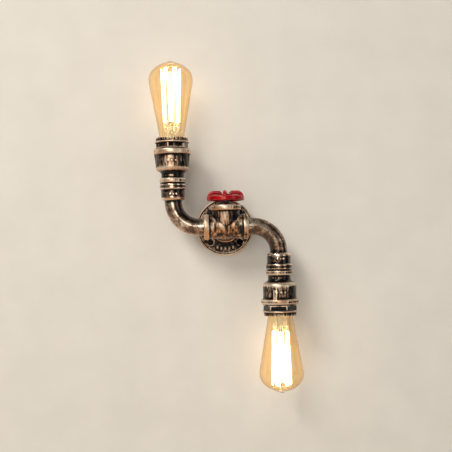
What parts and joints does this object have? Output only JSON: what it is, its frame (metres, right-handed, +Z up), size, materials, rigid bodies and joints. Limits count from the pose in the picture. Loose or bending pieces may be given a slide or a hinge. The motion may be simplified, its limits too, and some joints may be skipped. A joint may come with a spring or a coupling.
{
  "type": "wall sconce",
  "caption": "Wall light built from pipe fittings: flange, tee, up and down bends, bell couplings, filament bulbs and a red handwheel.",
  "frame": {"origin": "centre of the wall flange's back face, on the wall", "axes": "+Z up, +Y into the wall (the light stands out towards -Y), +X to the right as seen from the room"},
  "size_m": [0.214, 0.083, 0.4794],
  "materials": {
    "flange_iron": "dark patina, dry-brushed copper",
    "tee_iron": "dark patina, dry-brushed copper",
    "pipe_iron": "dark patina, rubbed copper crests, glossy",
    "coupling_iron": "dark patina, rubbed copper bands",
    "cap_iron": "dark patina, rubbed bronze rim",
    "bonnet_iron": "black, semi-matt",
    "wheel_paint": "gloss red enamel",
    "plated_steel": "zinc plated",
    "threaded_steel": "plain steel",
    "switch_plastic": "black moulding",
    "block_plastic": "off-white moulding",
    "lead_sleeve": "dark sleeve",
    "ceramic": null,
    "shell_brass": "drawn brass",
    "bulb_glass": "clear amber",
    "stem_glass": "clear glass",
    "insulator_glass": null,
    "solder": "solder",
    "filament_wire": "glowing wire",
    "hook_wire": "drawn wire"
  },
  "bodies": {
    "fixture": {"wall_flange": "flange_iron", "wall_nipple": "threaded_steel", "tee": "tee_iron", "bonnet": "bonnet_iron", "bonnet_nut": "bonnet_iron", "switch_body": "switch_plastic", "switch_lead": "lead_sleeve", "terminal_block": "block_plastic", "terminal_screws": "plated_steel", "upper_bend": "pipe_iron", "upper_nipple": "threaded_steel", "upper_coupling": "coupling_iron", "upper_holder_cap": "cap_iron", "upper_holder": "ceramic", "upper_screw_shell": "shell_brass", "upper_contact": "shell_brass", "upper_lead": "lead_sleeve", "lower_bend": "pipe_iron", "lower_nipple": "threaded_steel", "lower_coupling": "coupling_iron", "lower_holder_cap": "cap_iron", "lower_holder": "ceramic", "lower_screw_shell": "shell_brass", "lower_contact": "shell_brass", "lower_lead": "lead_sleeve"},
    "wheel": {"switch_spindle": "plated_steel", "handwheel": "wheel_paint", "wheel_washer": "plated_steel", "wheel_screw": "plated_steel"},
    "upper_bulb": {"upper_bulb_glass": "bulb_glass", "upper_bulb_cap": "shell_brass", "upper_cap_insulator": "insulator_glass", "upper_cap_tip": "solder", "upper_bulb_stem": "stem_glass", "upper_filament": "filament_wire", "upper_filament_hooks": "hook_wire"},
    "lower_bulb": {"lower_bulb_glass": "bulb_glass", "lower_bulb_cap": "shell_brass", "lower_cap_insulator": "insulator_glass", "lower_cap_tip": "solder", "lower_bulb_stem": "stem_glass", "lower_filament": "filament_wire", "lower_filament_hooks": "hook_wire"}
  },
  "joints": [
    {"name": "wheel_turn", "type": "hinge", "parent": "fixture", "child": "wheel", "pos_m": [0, -0.051, 0.04], "axis": [0, 0, 1], "range_deg": [0, 300]},
    {"name": "upper_bulb_out", "type": "slide", "parent": "fixture", "child": "upper_bulb", "axis": [0, 0, 1], "range_m": [0, 0.035]},
    {"name": "lower_bulb_out", "type": "slide", "parent": "fixture", "child": "lower_bulb", "axis": [0, 0, -1], "range_m": [0, 0.035]}
  ]
}
